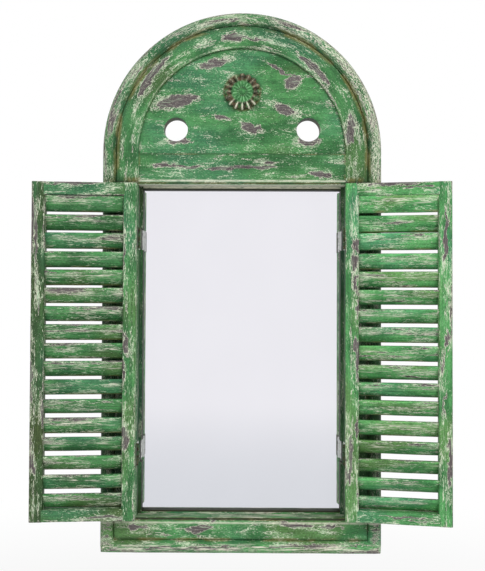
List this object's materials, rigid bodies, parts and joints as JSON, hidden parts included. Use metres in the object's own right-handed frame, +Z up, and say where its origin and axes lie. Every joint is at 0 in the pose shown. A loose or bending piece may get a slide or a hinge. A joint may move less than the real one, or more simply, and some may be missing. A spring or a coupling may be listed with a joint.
{
  "type": "shutter mirror",
  "caption": "Arched wooden wall mirror with a pierced half-round panel, a carved rosette and two hinged louvred shutters that close over the glass.",
  "frame": {"origin": "on the wall plane at the back of the frame, in the middle of its bottom edge", "axes": "+Z up along the wall, +X to the right of someone who faces the mirror, +Y from the front of the mirror into the wall, so the mirror looks along -Y"},
  "size_m": [0.3995, 0.06, 0.53],
  "materials": {
    "green_paint": "timber with green paint worn through to cream primer and bare grey wood",
    "shutter_paint": "the same paint, darker and more worn, on the shutters",
    "worn_paint": "green paint rubbed off the raised carving, with dark paint left in the grooves",
    "mirror": "clear polished glass, silvered behind",
    "hardboard": "raw brown hardboard",
    "steel": "zinc plated steel",
    "aged_brass": "dulled brass with some of the green paint on it"
  },
  "bodies": {
    "frame": {"arch_crown": "green_paint", "left_stile": "green_paint", "right_stile": "green_paint", "head_rail": "green_paint", "base_rail": "green_paint", "lunette_panel": "green_paint", "rosette": "worn_paint", "mirror_glass": "mirror", "back_board": "hardboard", "glazing_points": "steel", "hanger_plates": "steel", "frame_screws": "steel", "frame_hinge_leaves": "aged_brass", "hinge_pins": "aged_brass"},
    "left_shutter": {"left_hinge_stile": "shutter_paint", "left_meeting_stile": "shutter_paint", "left_top_rail": "shutter_paint", "left_bottom_rail": "shutter_paint", "left_hinge_leaves": "aged_brass", "left_hinge_screws": "steel", "left_slat_01": "shutter_paint", "left_slat_02": "shutter_paint", "left_slat_03": "shutter_paint", "left_slat_04": "shutter_paint", "left_slat_05": "shutter_paint", "left_slat_06": "shutter_paint", "left_slat_07": "shutter_paint", "left_slat_08": "shutter_paint", "left_slat_09": "shutter_paint", "left_slat_10": "shutter_paint", "left_slat_11": "shutter_paint", "left_slat_12": "shutter_paint", "left_slat_13": "shutter_paint", "left_slat_14": "shutter_paint", "left_slat_15": "shutter_paint", "left_slat_16": "shutter_paint", "left_slat_17": "shutter_paint"},
    "right_shutter": {"right_hinge_stile": "shutter_paint", "right_meeting_stile": "shutter_paint", "right_top_rail": "shutter_paint", "right_bottom_rail": "shutter_paint", "right_hinge_leaves": "aged_brass", "right_hinge_screws": "steel", "right_slat_01": "shutter_paint", "right_slat_02": "shutter_paint", "right_slat_03": "shutter_paint", "right_slat_04": "shutter_paint", "right_slat_05": "shutter_paint", "right_slat_06": "shutter_paint", "right_slat_07": "shutter_paint", "right_slat_08": "shutter_paint", "right_slat_09": "shutter_paint", "right_slat_10": "shutter_paint", "right_slat_11": "shutter_paint", "right_slat_12": "shutter_paint", "right_slat_13": "shutter_paint", "right_slat_14": "shutter_paint", "right_slat_15": "shutter_paint", "right_slat_16": "shutter_paint", "right_slat_17": "shutter_paint"}
  },
  "joints": [
    {"name": "left_shutter_hinge", "type": "hinge", "parent": "frame", "child": "left_shutter", "pos_m": [-0.1009, -0.0284, 0], "axis": [0, 0, -1], "range_deg": [-175.5, 4.5]},
    {"name": "right_shutter_hinge", "type": "hinge", "parent": "frame", "child": "right_shutter", "pos_m": [0.1009, -0.0284, 0], "axis": [0, 0, 1], "range_deg": [-170.5, 9.5]}
  ]
}
